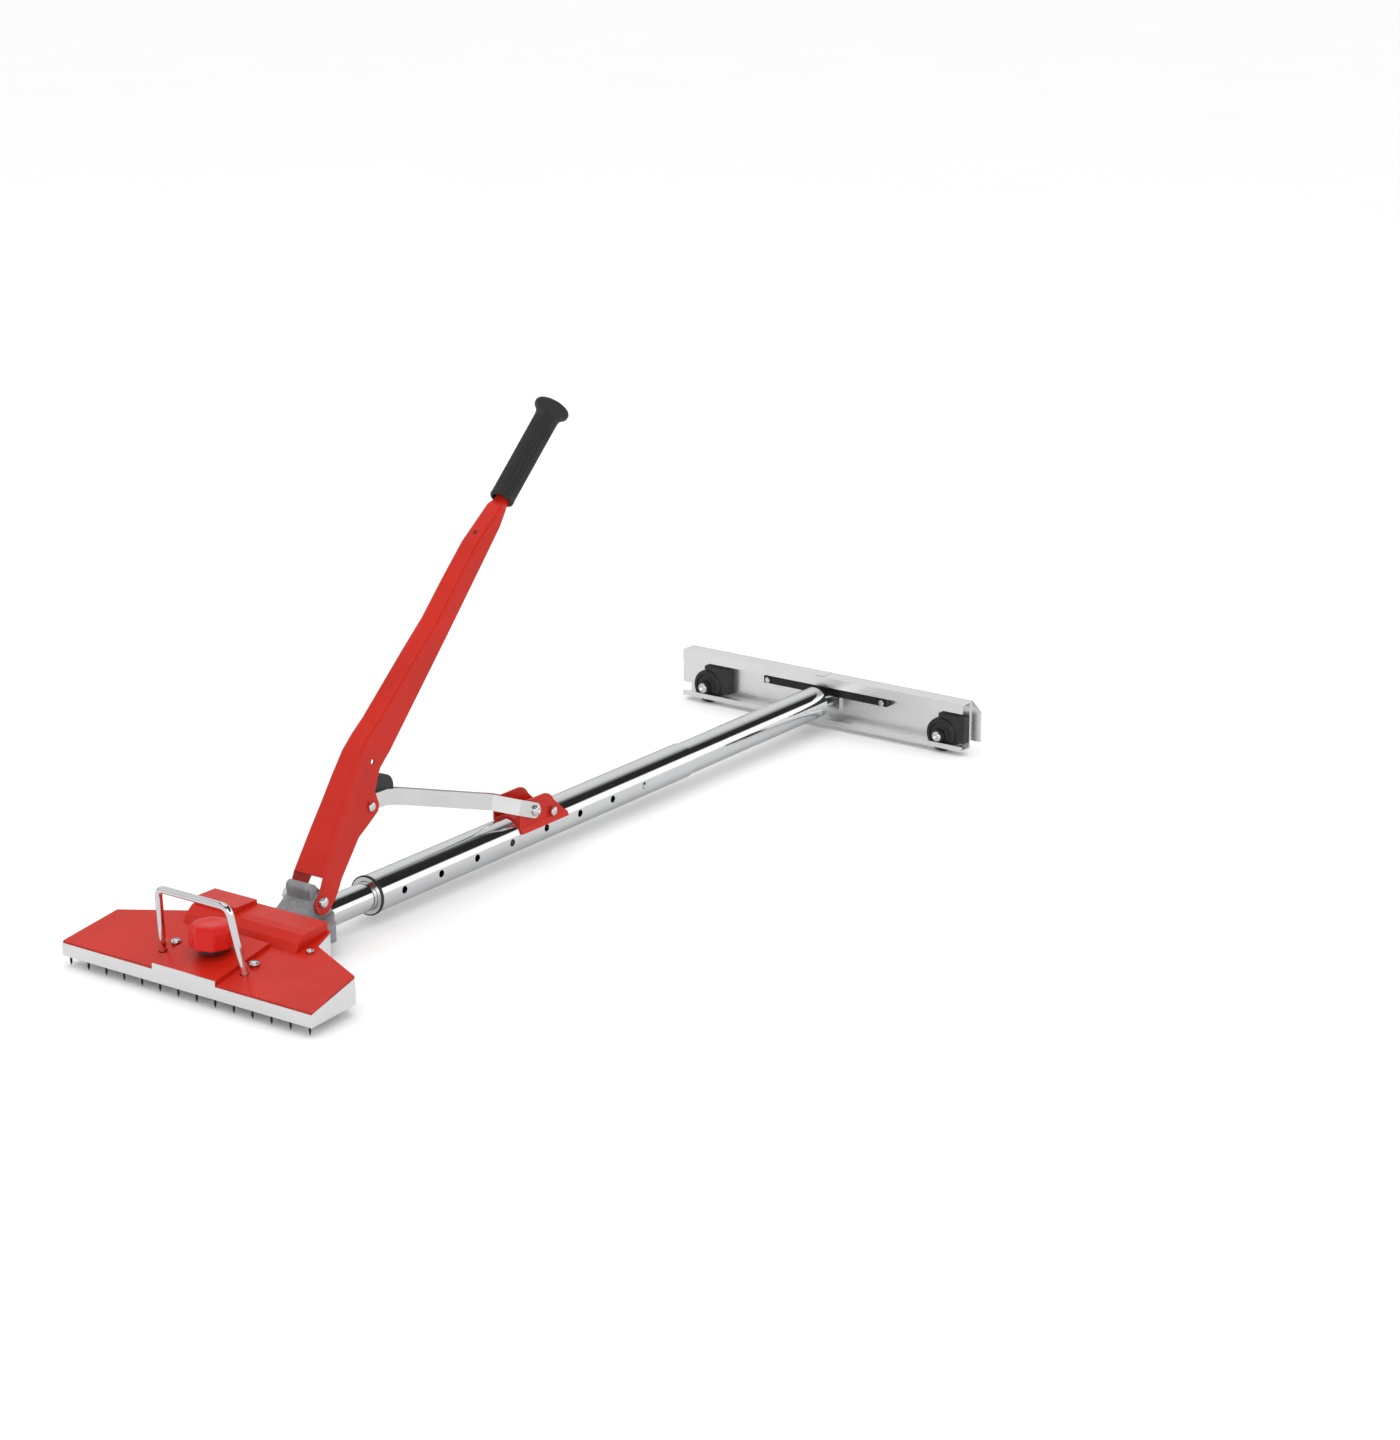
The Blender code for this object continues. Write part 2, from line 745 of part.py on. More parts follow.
def head_body(look, tool):
    head_shell(look, tool)
    carry_handle(look, tool)
    for name, x, y, head_radius, head_height in screw_places():
        part(name, cover_screw(x, y, head_radius, head_height), look["zinc"], tool)
    floor = BASE_FLOOR + BASE_PLATE + GAP
    roof = cover_height(HEAD_PIVOT) - COVER_SHEET - 2
    part(
        "head_swivel_pin",
        rod(floor, roof, 6, "z", (HEAD_PIVOT, 0, 0), 16),
        look["zinc"],
        tool,
        (HEAD_PIVOT, 0, 0),
    )

    place = (*KNOB_PLACE, 0)
    profile = (
        (KNOB_NECK, 0),
        (KNOB_NECK, 10),
        (KNOB_BOTTOM, 10),
        (KNOB_BOTTOM, KNOB_RADIUS - 1),
        (KNOB_BOTTOM + 1, KNOB_RADIUS),
        (KNOB_TOP - 4, KNOB_RADIUS),
        (KNOB_TOP, KNOB_RADIUS - 4),
        (KNOB_TOP, 0),
    )
    knob = lathe(profile, "z", place, TUBE_SIDES, closed=False)
    part("depth_knob", knob, look["red_knob"], tool, place)
    part("depth_spindle", rod(18.5, KNOB_NECK - GAP, 5, "z", place, 16), look["zinc"], tool, place)

    low, top = 18.2, 22.2
    plate = mirrored([(HEAD_FRONT - BASE_WALL - 0.5, 199), (-60, 191)])
    made = part("pin_plate", prism(plate, low, top, "z"), look["black_steel"], tool, smooth=False)
    combine(made, rod(low + 2, top + 5, 10, "z", place, 16), "UNION")
    combine(made, rod(low - 6, top + 20, 5 + 2 * GAP, "z", place, 16))
    profile = ((0, 0), (5, PIN_RADIUS), (low + 2, PIN_RADIUS), (low + 2, 0))
    pins = [lathe(profile, "z", (x, y, 0), 8, closed=False) for x, y in pin_places()]
    combine(made, together(*pins), "UNION")


# Rear tube and tail


def rear_body(look, tube):
    rear = part(
        "rear_tube",
        ring(REAR_REAR, REAR_FRONT, REAR_OUTER, REAR_INNER, sides=TUBE_SIDES),
        look["chrome"],
        tube,
    )
    button = (HOLE_START - HOLE_PITCH * (HOLE_COUNT - 1), 0, 0)
    combine(rear, rod(15, 35, HOLE_RADIUS, "y", button, 16))
    profile = (
        (18.4, 0),
        (18.4, HOLE_RADIUS - 0.5),
        (MAIN_OUTER + 0.4, HOLE_RADIUS - 0.5),
        (MAIN_OUTER + 2.2, HOLE_RADIUS - 2.5),
        (MAIN_OUTER + 2.6, 0),
    )
    made = lathe(profile, "y", button, 16, closed=False)
    part("snap_button", made, look["zinc"], tube, button)
    leaf = (
        (-872, 18),
        (-899, 18),
        (-938, 0),
        (-880, -20.5),
        (-872, -20.5),
        (-872, -19.5),
        (-880, -19.5),
        (-934.5, 0),
        (-898.5, 17),
        (-872, 17),
    )
    part("button_spring", prism(leaf, -4, 4, "z"), look["zinc"], tube, smooth=False)

    fitting = part(
        "tube_end_fitting",
        rod(REAR_REAR, REAR_REAR + 27, REAR_INNER - 2 * GAP, sides=TUBE_SIDES),
        look["cast_grey"],
        tube,
    )
    tongue = [
        (REAR_REAR + 5, 9),
        *arc((TAIL_PIVOT, 0), 9, 90, 270, 8),
        (REAR_REAR + 5, -9),
    ]
    combine(fitting, prism(tongue, -4, 4, "z"), "UNION")
    combine(fitting, rod(-30, 30, 5 + GAP, "z", (TAIL_PIVOT, 0, 0), 16))


def tail_body(look, tool):
    wall_x = TAIL_BACK + 3
    inner_x = wall_x + SHEET
    front_x = wall_x + CHANNEL_DEPTH
    low, top = CHANNEL_LOW, CHANNEL_TOP
    section = [
        (wall_x, low),
        (front_x, low),
        (front_x, low + CHANNEL_LIPS[0]),
        (front_x - SHEET, low + CHANNEL_LIPS[0]),
        (front_x - SHEET, low + SHEET),
        (inner_x, low + SHEET),
        (inner_x, top - SHEET),
        (front_x - SHEET, top - SHEET),
        (front_x - SHEET, top - CHANNEL_LIPS[1]),
        (front_x, top - CHANNEL_LIPS[1]),
        (front_x, top),
        (wall_x, top),
    ]
    channel = part(
        "tail_channel",
        prism(section, -CHANNEL_HALF, CHANNEL_HALF),
        look["aluminium"],
        tool,
        (TAIL_PIVOT, 0, 0),
        smooth=False,
    )
    slots = []
    for _, side in SIDES:
        y = side * WHEEL_PLACE
        slots.append(box((WHEEL_BACK - 1, y - WHEEL_RADIUS, 0), (WHEEL_FRONT + 2, y + WHEEL_RADIUS, 15)))
    combine(channel, together(*slots))

    plate = mirrored_plate(PLATE_HALF, 20, top, 16)
    part(
        "tail_back_plate",
        prism(plate, TAIL_BACK, wall_x - GAP, "x"),
        look["aluminium"],
        tool,
        (TAIL_PIVOT, 0, 0),
        smooth=False,
    )
    wall = inner_x + GAP
    bar_front = wall + 13
    part("tail_bar", box((wall, -105, 50), (bar_front, 115, 61)), look["black_steel"], tool, smooth=False)
    for (name, _), y in zip(SIDES, (107, -97), strict=True):
        screw = bolt(2.5, 4.5, bar_front + GAP, bar_front + 1, 3, (0, y, 55.5), "x", 12)
        part(f"tail_bar_screw_{name}", screw, look["zinc"], tool)

    axis_height = TUBE_HEIGHT - TAIL_PIVOT * math.tan(TUBE_TILT)
    ear = [(wall + 2, -14), *arc((TAIL_PIVOT, 0), 10, -90, 90, 8), (wall + 2, 14)]
    bracket = part(
        "tail_bracket",
        box((wall, -26, 26), (wall + 4.5, 26, 49.6)),
        look["zinc"],
        tool,
        (TAIL_PIVOT, 0, 0),
        smooth=False,
    )
    for low_z, high_z in ((axis_height + 4.4, 49.4), (axis_height - 8, axis_height - 4.4)):
        combine(bracket, prism(ear, low_z, high_z, "z"), "UNION")
    combine(bracket, rod(0, 60, 5 + GAP, "z", (TAIL_PIVOT, 0, 0), 16))
    pin = bolt(5, 6.5, axis_height - 12, 49.6, 3.4, (TAIL_PIVOT, 0, 0), "z")
    part("tail_swivel_pin", pin, look["zinc"], tool, (TAIL_PIVOT, 0, 0))
    splice = box((wall_x + 1, -8, top + GAP), (front_x - 1, 8, top + 1.8))
    part("tail_splice_plate", splice, look["aluminium"], tool, smooth=False)
    wheels(look, tool, wall)


def mirrored_plate(half, low, high, chamfer):
    return [
        (-half, low),
        (half, low),
        (half, high - chamfer),
        (half - chamfer, high),
        (chamfer - half, high),
        (-half, high - chamfer),
    ]


def wheels(look, tool, wall):
    tyre = [
        (WHEEL_BACK, AXLE_RADIUS + 0.5),
        (WHEEL_BACK, WHEEL_RADIUS - 2.5),
        (WHEEL_BACK + 2.5, WHEEL_RADIUS),
        (WHEEL_FRONT - 2.5, WHEEL_RADIUS),
        (WHEEL_FRONT, WHEEL_RADIUS - 2.5),
        (WHEEL_FRONT, HUB_RADIUS),
        (HUB_FRONT, HUB_RADIUS),
        (HUB_FRONT, AXLE_RADIUS + 0.5),
    ]
    for name, side in SIDES:
        y = side * WHEEL_PLACE
        centre = (0, y, WHEEL_RADIUS)
        guard = ((y - 4, 18), (y + 40, 18), (y + 40, 58), (y - 4, 58))
        bracket = part(
            f"wheel_bracket_{name}",
            prism(guard, wall, WHEEL_FRONT - 1, "x"),
            look["black_plastic"],
            tool,
            smooth=False,
        )
        combine(bracket, rod(wall - 5, WHEEL_FRONT + 5, WHEEL_RADIUS + 1.5, "x", centre, TUBE_SIDES))
        turning = lathe(tyre, "x", centre, TUBE_SIDES)
        middle = ((WHEEL_FRONT + WHEEL_BACK) / 2, y, WHEEL_RADIUS)
        part(f"wheel_{name}", turning, look["black_rubber"], tool, middle)
        axle = bolt(AXLE_RADIUS, 7.5, wall, HUB_FRONT + 0.5, 6.5, centre, "x")
        part(f"axle_bolt_{name}", axle, look["zinc"], tool)


def main():
    clear_scene()
    look = make_materials()
    tool = frame("tool", (TOOL_SHIFT, 0, 0))
    tube = frame("tube_line", (0, 0, TUBE_HEIGHT), TUBE_TILT, tool)
    pivot = (LEVER_PIVOT[0], 0, LEVER_PIVOT[1])
    lever = frame("lever_line", pivot, LEVER_RISE, tube)
    main_body(look, tube)
    lead_body(look, tube)
    lever_body(look, lever)
    link_body(look, tube)
    head_body(look, tool)
    rear_body(look, tube)
    tail_body(look, tool)


main()
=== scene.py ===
"""The looks of a carpet power stretcher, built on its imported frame.

Placed lengths are in metres in the row frame. Profiles are in millimetres, in one of three frames:
TOOL starts on the floor under the head, TUBE on the axis of the tubes above it, and LEVER at the
pivot of the lever.
"""

import json
import math

import bmesh
import bpy
from mathutils import Matrix, Vector


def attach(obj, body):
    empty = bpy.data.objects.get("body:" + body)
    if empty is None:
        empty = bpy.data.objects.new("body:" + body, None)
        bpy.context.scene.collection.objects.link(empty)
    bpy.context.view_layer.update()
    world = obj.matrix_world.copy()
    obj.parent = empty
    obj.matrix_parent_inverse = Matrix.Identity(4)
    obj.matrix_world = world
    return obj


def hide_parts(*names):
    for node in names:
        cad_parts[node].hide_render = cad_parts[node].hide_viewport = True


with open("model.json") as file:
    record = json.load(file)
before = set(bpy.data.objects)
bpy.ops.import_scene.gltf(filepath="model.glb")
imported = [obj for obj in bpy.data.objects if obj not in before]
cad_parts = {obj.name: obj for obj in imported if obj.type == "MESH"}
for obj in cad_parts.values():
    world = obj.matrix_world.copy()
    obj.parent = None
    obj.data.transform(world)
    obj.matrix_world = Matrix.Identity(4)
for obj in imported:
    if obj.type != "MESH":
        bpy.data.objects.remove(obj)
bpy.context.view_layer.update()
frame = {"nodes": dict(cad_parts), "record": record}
nodes = frame["nodes"]
scene = bpy.context.scene

MM = 0.001
TOOL_SHIFT = 0.6875
TUBE_HEIGHT, TUBE_TILT = 0.03395, math.radians(0.3323)
LEVER_PIVOT, LEVER_LEAN = (-0.2162, 0, 0.0308), math.radians(46.44)
TOOL = Matrix.Translation((TOOL_SHIFT, 0, 0))
TUBE = TOOL @ Matrix.Translation((0, 0, TUBE_HEIGHT)) @ Matrix.Rotation(TUBE_TILT, 4, "Y")
LEVER = TUBE @ Matrix.Translation(LEVER_PIVOT) @ Matrix.Rotation(LEVER_LEAN, 4, "Y")
SIDES = (("near", 1), ("far", -1))


# Materials


class Shading:
    """One node material, with short calls for the nodes that it is made of."""

    def __init__(self, name, colour, metallic, ior=1.5):
        self.material = bpy.data.materials.new(name)
        self.material.use_nodes = True
        self.tree = self.material.node_tree
        self.shader = self.tree.nodes["Principled BSDF"]
        self.shader.inputs["Metallic"].default_value = metallic
        self.shader.inputs["IOR"].default_value = ior
        self.material.diffuse_color = (*colour, 1.0)
        self.place = self.tree.nodes.new("ShaderNodeTexCoord").outputs["Object"]

    def link(self, a, b):
        self.tree.links.new(a, b)

    def noise(self, scale, detail=4.0, stretch=(1, 1, 1), roughness=0.55):
        mapping = self.tree.nodes.new("ShaderNodeMapping")
        mapping.inputs["Scale"].default_value = stretch
        node = self.tree.nodes.new("ShaderNodeTexNoise")
        node.inputs["Scale"].default_value = scale
        node.inputs["Detail"].default_value = detail
        node.inputs["Roughness"].default_value = roughness
        self.link(self.place, mapping.inputs["Vector"])
        self.link(mapping.outputs["Vector"], node.inputs["Vector"])
        return node.outputs["Fac"]

    def cells(self, scale):
        node = self.tree.nodes.new("ShaderNodeTexVoronoi")
        node.inputs["Scale"].default_value = scale
        self.link(self.place, node.inputs["Vector"])
        return node.outputs["Color"]

    def spread(self, value, low, high, to_low, to_high):
        node = self.tree.nodes.new("ShaderNodeMapRange")
        for key, number in (("From Min", low), ("From Max", high), ("To Min", to_low), ("To Max", to_high)):
            node.inputs[key].default_value = number
        self.link(value, node.inputs["Value"])
        return node.outputs["Result"]

    def times(self, a, b):
        node = self.tree.nodes.new("ShaderNodeMath")
        node.operation = "MULTIPLY"
        self.link(a, node.inputs[0])
        self.link(b, node.inputs[1])
        return node.outputs["Value"]

    def blend(self, share, first, second):
        node = self.tree.nodes.new("ShaderNodeMix")
        node.data_type = "RGBA"
        self.link(share, node.inputs["Factor"])
        for socket, value in ((node.inputs[6], first), (node.inputs[7], second)):
            if isinstance(value, tuple):
                socket.default_value = (*value, 1.0)
            else:
                self.link(value, socket)
        return node.outputs[2]

    def edges(self, radius, low=0.06, high=0.35):
        """1 along convex and concave edges, 0 on flat faces."""
        bevel = self.tree.nodes.new("ShaderNodeBevel")
        bevel.samples = 4
        bevel.inputs["Radius"].default_value = radius
        true = self.tree.nodes.new("ShaderNodeNewGeometry")
        dot = self.tree.nodes.new("ShaderNodeVectorMath")
        dot.operation = "DOT_PRODUCT"
        self.link(bevel.outputs["Normal"], dot.inputs[0])
        self.link(true.outputs["Normal"], dot.inputs[1])
        return self.spread(dot.outputs["Value"], 1 - low, 1 - high, 0.0, 1.0)

    def bump(self, height, distance, strength=1.0):
        node = self.tree.nodes.new("ShaderNodeBump")
        node.inputs["Distance"].default_value = distance
        node.inputs["Strength"].default_value = strength
        self.link(height, node.inputs["Height"])
        self.link(node.outputs["Normal"], self.shader.inputs["Normal"])

    def finish(self, colour, roughness):
        self.link(colour, self.shader.inputs["Base Color"])
        self.link(roughness, self.shader.inputs["Roughness"])
        return self.material


def painted(name, colour, deep, bare, coat):
    """Sprayed enamel: slight mottling, orange peel, and edges rubbed through in places."""
    look = Shading(name, colour, 0.0)
    look.shader.inputs["Specular IOR Level"].default_value = 0.22
    look.shader.inputs["Coat Weight"].default_value = coat
    look.shader.inputs["Coat Roughness"].default_value = 0.18
    broad = look.noise(9.0, 3.0)
    mottled = look.blend(look.spread(broad, 0.35, 0.7, 0.0, 1.0), colour, deep)
    worn = look.edges(0.0012)
    patchy = look.spread(look.noise(160.0, 5.0), 0.55, 0.64, 0.0, 0.75)
    rubbed = look.times(worn, patchy)
    shade = look.blend(rubbed, mottled, bare)
    look.bump(look.noise(850.0, 2.0), 0.00006, 0.6)
    return look.finish(shade, look.spread(look.noise(40.0, 5.0), 0.3, 0.7, 0.26, 0.42))


def metal(name, colour, dull, roughness, stretch, grain, scratch, tint=0.5):
    """Bare or plated metal, its grain stretched along the way it was drawn or rolled."""
    look = Shading(name, colour, 1.0)
    streaks = look.noise(grain, 6.0, stretch, 0.65)
    stains = look.spread(look.noise(14.0, 4.0), 0.45, 0.75, 0.0, tint)
    shade = look.blend(stains, colour, dull)
    look.bump(streaks, scratch, 0.5)
    return look.finish(shade, look.spread(streaks, 0.3, 0.7, *roughness))


def plated(name, colour, dull, roughness):
    """Zinc plate with its faint crystal patches."""
    look = Shading(name, colour, 1.0)
    patches = look.spread(look.cells(420.0), 0.2, 0.8, 0.0, 0.55)
    shade = look.blend(patches, colour, dull)
    look.bump(look.noise(700.0, 3.0), 0.00004, 0.5)
    return look.finish(shade, look.spread(look.noise(90.0, 4.0), 0.3, 0.7, *roughness))


def cast(name, colour, deep):
    look = Shading(name, colour, 0.35)
    shade = look.blend(look.spread(look.noise(120.0, 6.0), 0.35, 0.7, 0.0, 1.0), colour, deep)
    look.bump(look.noise(520.0, 5.0), 0.00025, 0.6)
    return look.finish(shade, look.spread(look.noise(60.0, 3.0), 0.3, 0.7, 0.42, 0.6))


def dark(name, colour, dusty_and_highlight_colour, roughness, grain, depth, metallic=0.0):
    """Black rubber, plastic or painted steel, dusty in patches, with patchy greyer edges that are a painted
    edge highlight.
    """
    look = Shading(name, colour, metallic)
    dusty = look.spread(look.noise(70.0, 5.0), 0.5, 0.8, 0.0, 0.5)
    shade = look.blend(dusty, colour, dusty_and_highlight_colour)
    # Lighter grey along the edges, broken up by noise: a painted edge highlight.
    edge = look.times(look.edges(0.0008), look.spread(look.noise(200.0, 3.0), 0.35, 0.65, 0.1, 0.8))
    shade = look.blend(edge, shade, tuple(3.0 * c for c in dusty_and_highlight_colour))
    look.bump(look.noise(grain, 3.0), depth, 0.6)
    return look.finish(shade, look.spread(look.noise(55.0, 4.0), 0.3, 0.7, *roughness))


LOOKS = {
    "red_paint": painted("red_paint", (0.52, 0.015, 0.005), (0.45, 0.012, 0.004), (0.34, 0.3, 0.29), 0.08),
    "red_knob": painted("red_knob", (0.62, 0.01, 0.007), (0.54, 0.008, 0.006), (0.5, 0.03, 0.025), 0.1),
    "chrome": metal(
        "chrome", (0.84, 0.85, 0.86), (0.74, 0.75, 0.76), (0.035, 0.1), (1, 14, 14), 60.0, 0.000006, 0.35
    ),
    "aluminium": metal(
        "aluminium", (0.96, 0.96, 0.96), (0.86, 0.865, 0.87), (0.24, 0.4), (60, 1, 60), 25.0, 0.00002
    ),
    "white_zinc": metal(
        "white_zinc", (0.84, 0.845, 0.84), (0.74, 0.745, 0.74), (0.25, 0.38), (1, 30, 30), 30.0, 0.00002
    ),
    "zinc": plated("zinc", (0.8, 0.8, 0.8), (0.66, 0.67, 0.68), (0.16, 0.3)),
    "cast_grey": cast("cast_grey", (0.3, 0.31, 0.32), (0.22, 0.225, 0.235)),
    "black_rubber": dark(
        "black_rubber", (0.012, 0.012, 0.013), (0.022, 0.022, 0.022), (0.5, 0.68), 900.0, 0.00008
    ),
    "wheel_black": dark(
        "wheel_black", (0.012, 0.012, 0.013), (0.022, 0.022, 0.022), (0.38, 0.55), 500.0, 0.00005
    ),
    "black_plastic": dark(
        "black_plastic", (0.013, 0.013, 0.014), (0.02, 0.02, 0.021), (0.36, 0.5), 1100.0, 0.00004
    ),
    "black_steel": dark(
        "black_steel", (0.016, 0.016, 0.017), (0.03, 0.03, 0.03), (0.3, 0.45), 400.0, 0.00003, 0.4
    ),
}


# Meshes


SHARP_EDGE = math.radians(32)
BEVELLED_EDGE = math.radians(40)


def smooth_group():
    """Geometry nodes that shade smooth, and leave every edge over SHARP_EDGE sharp."""
    group = bpy.data.node_groups.new("smooth_by_angle", "GeometryNodeTree")
    group.interface.new_socket("Geometry", in_out="INPUT", socket_type="NodeSocketGeometry")
    group.interface.new_socket("Geometry", in_out="OUTPUT", socket_type="NodeSocketGeometry")
    make = group.nodes.new
    start, end = make("NodeGroupInput"), make("NodeGroupOutput")
    faces, sharp = make("GeometryNodeSetShadeSmooth"), make("GeometryNodeSetShadeSmooth")
    faces.domain, sharp.domain = "FACE", "EDGE"
    sharp.inputs["Shade Smooth"].default_value = False
    angle, over = make("GeometryNodeInputMeshEdgeAngle"), make("FunctionNodeCompare")
    over.operation = "GREATER_THAN"
    over.inputs["B"].default_value = SHARP_EDGE
    link = group.links.new
    link(start.outputs[0], faces.inputs["Geometry"])
    link(faces.outputs["Geometry"], sharp.inputs["Geometry"])
    link(angle.outputs["Unsigned Angle"], over.inputs["A"])
    link(over.outputs["Result"], sharp.inputs["Selection"])
    link(sharp.outputs["Geometry"], end.inputs[0])
    return group


SMOOTH = smooth_group()


def soften(obj, width=0.0, segments=2):
    """Small rounds on an object's edges, and smooth shading between its sharp edges."""
    if width:
        bevel = obj.modifiers.new("rounds", "BEVEL")
        bevel.width = width
        bevel.segments = segments
        bevel.limit_method = "ANGLE"
        bevel.angle_limit = BEVELLED_EDGE
        bevel.use_clamp_overlap = True
    modifier = obj.modifiers.new("smooth", "NODES")
    modifier.node_group = SMOOTH


def new_object(name, bm, slot, matrix=None, body=None, stands_for=()):
    """An object from a mesh in millimetres in the frame that matrix gives."""
    bmesh.ops.recalc_face_normals(bm, faces=bm.faces)
    bmesh.ops.scale(bm, vec=(MM, MM, MM), verts=bm.verts)
    if matrix:
        bmesh.ops.transform(bm, matrix=matrix, verts=bm.verts)
    data = bpy.data.meshes.new(name)
    bm.to_mesh(data)
    bm.free()
    made = bpy.data.objects.new(name, data)
    scene.collection.objects.link(made)
    if slot:
        data.materials.append(LOOKS[slot])
    if body:
        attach(made, body)
    if stands_for:
        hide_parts(*stands_for)
    return made


def turned(profile, sides=96, closed=True, shape=None):
    """A profile of (along, radius) points turned about X. shape gives each point's share of its radius."""
    bm = bmesh.new()
    rings = []
    for along, radius in profile:
        if radius == 0:
            rings.append([bm.verts.new((along, 0, 0))])
            continue
        circle = []
        for i in range(sides):
            angle = 2 * math.pi * i / sides
            share = shape(along, radius, angle) if shape else 1.0
            y, z = radius * share * math.cos(angle), radius * share * math.sin(angle)
            circle.append(bm.verts.new((along, y, z)))
        rings.append(circle)
    pairs = list(zip(rings, rings[1:], strict=False))
    if closed:
        pairs.append((rings[-1], rings[0]))
    for first, second in pairs:
        for i in range(sides):
            j = (i + 1) % sides
            if len(first) == 1 and len(second) == 1:
                break
            if len(first) == 1:
                bm.faces.new((first[0], second[j], second[i]))
            elif len(second) == 1:
                bm.faces.new((first[i], first[j], second[0]))
            else:
                bm.faces.new((first[i], first[j], second[j], second[i]))
    return bm


def rounded(points, radius, steps=4):
    """The open profile with each inner corner turned into an arc of about that radius."""
    made = [points[0]]
    for before, at, after in zip(points, points[1:], points[2:], strict=False):
        at, one, two = Vector(at), Vector(before), Vector(after)
        reach = min(radius, (one - at).length / 2.1, (two - at).length / 2.1)
        start = at + (one - at).normalized() * reach
        end = at + (two - at).normalized() * reach
        for step in range(steps + 1):
            share = step / steps
            place = start.lerp(at, share).lerp(at.lerp(end, share), share)
            made.append((place.x, place.y))
    return made + [points[-1]]


def cut(obj, *cutters):
    """Takes the cutters' shapes out of the object for good."""
    for cutter in cutters:
        modifier = obj.modifiers.new("cut", "BOOLEAN")
        modifier.operation = "DIFFERENCE"
        modifier.solver = "EXACT"
        modifier.object = cutter
    graph = bpy.context.evaluated_depsgraph_get()
    data = bpy.data.meshes.new_from_object(obj.evaluated_get(graph))
    obj.modifiers.clear()
    old, obj.data = obj.data, data
    bpy.data.meshes.remove(old)
    for cutter in cutters:
        bpy.data.objects.remove(cutter, do_unlink=True)


def along_axis(axis, centre):
    """The matrix that takes X to the axis, with its origin at a centre in mm."""
    turn = {
        "x": Matrix.Identity(4),
        "y": Matrix.Rotation(math.radians(90), 4, "Z"),
        "-y": Matrix.Rotation(math.radians(-90), 4, "Z"),
        "z": Matrix.Rotation(math.radians(-90), 4, "Y"),
    }[axis]
    return Matrix.Translation(Vector(centre) * MM) @ turn


# Tubes


TUBE_SIDES = 128
TUBE_CHAMFER = 0.4
FIRST_HOLE, HOLE_PITCH, HOLE_RADIUS = -373.0, 73.2, 5.0
HOLES = [FIRST_HOLE - HOLE_PITCH * i for i in range(8)]


def hole_cutter(x):
    """A round cutter that passes through the tube's near wall only."""
    start, end = 15, 35
    profile = ((start, 0), (start, HOLE_RADIUS), (end, HOLE_RADIUS), (end, 0))
    return new_object("cutter", turned(profile, 48, False), None, TUBE @ along_axis("y", (x, 0, 0)))


def tube_piece(node, low, high, outer, inner, body, holes=()):
    profile = [
        (low, inner),
        (low, outer - TUBE_CHAMFER),
        (low + TUBE_CHAMFER, outer),
        (high - TUBE_CHAMFER, outer),
        (high, outer - TUBE_CHAMFER),
        (high, inner),
    ]
    made = new_object(f"{node}_body", turned(profile, TUBE_SIDES), "chrome", TUBE)
    cutters = [hole_cutter(x) for x in holes]
    if cutters:
        cut(made, *cutters)
    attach(made, body)
    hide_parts(node)
    soften(made)


tube_piece("main_tube", -1003.0, -332.0, 25.4, 23.9, "main", HOLES)
tube_piece("lead_tube", -600.0, -226.0, 19.05, 17.25, "lead")
tube_piece("rear_tube", -1342.0, -850.0, 23.65, 22.15, "rear", HOLES[-1:])

BUSH_BACK, BUSH_FRONT, BUSH_SHOULDER = -351.7, -327.7, -331.7
BUSH_BORE, BUSH_BODY, BUSH_FACE, BUSH_RIM = 19.35, 23.6, 24.6, 26.5
bush = [
    (BUSH_BACK, BUSH_BORE),
    (BUSH_FRONT, BUSH_BORE),
    (BUSH_FRONT, BUSH_FACE),
    (BUSH_FRONT, BUSH_RIM),
    (BUSH_SHOULDER, BUSH_RIM),
    (BUSH_SHOULDER, BUSH_BODY),
    (BUSH_BACK, BUSH_BODY),
]
bush_mesh = turned(rounded(bush, 0.6))
bush_ring = new_object("front_bush_ring", bush_mesh, "black_plastic", TUBE, "main", ("front_bush",))
bush_ring.data.materials.append(LOOKS["zinc"])
for face in bush_ring.data.polygons:
    centre = TUBE.inverted() @ face.center
    on_front = centre.x > (BUSH_FRONT - 0.8) * MM
    if on_front and math.hypot(centre.y, centre.z) < BUSH_FACE * MM:
        face.material_index = 1
soften(bush_ring)


# Lever grip, with a ribbed sleeve and a flared end

GRIP_START, GRIP_END = Vector((-584.0, 0.0, 6.0)), Vector((-735.0, 0.0, -4.0))
GRIP_LENGTH = (GRIP_END - GRIP_START).length


FLUTES, FLUTE_DEPTH = 18, 0.055
FLUTES_START, FLUTES_END = 9, GRIP_LENGTH - 24


def grip_share(along, radius, angle):
    """Shallow flutes along the sleeve, which fade out at a collar at each end."""
    if radius < 15 or not FLUTES_START < along < FLUTES_END:
        return 1.0
    fade = min(1.0, (along - FLUTES_START) / 3, (FLUTES_END - along) / 3)
    return 1.0 - FLUTE_DEPTH * fade * (0.5 + 0.5 * math.cos(FLUTES * angle)) ** 2


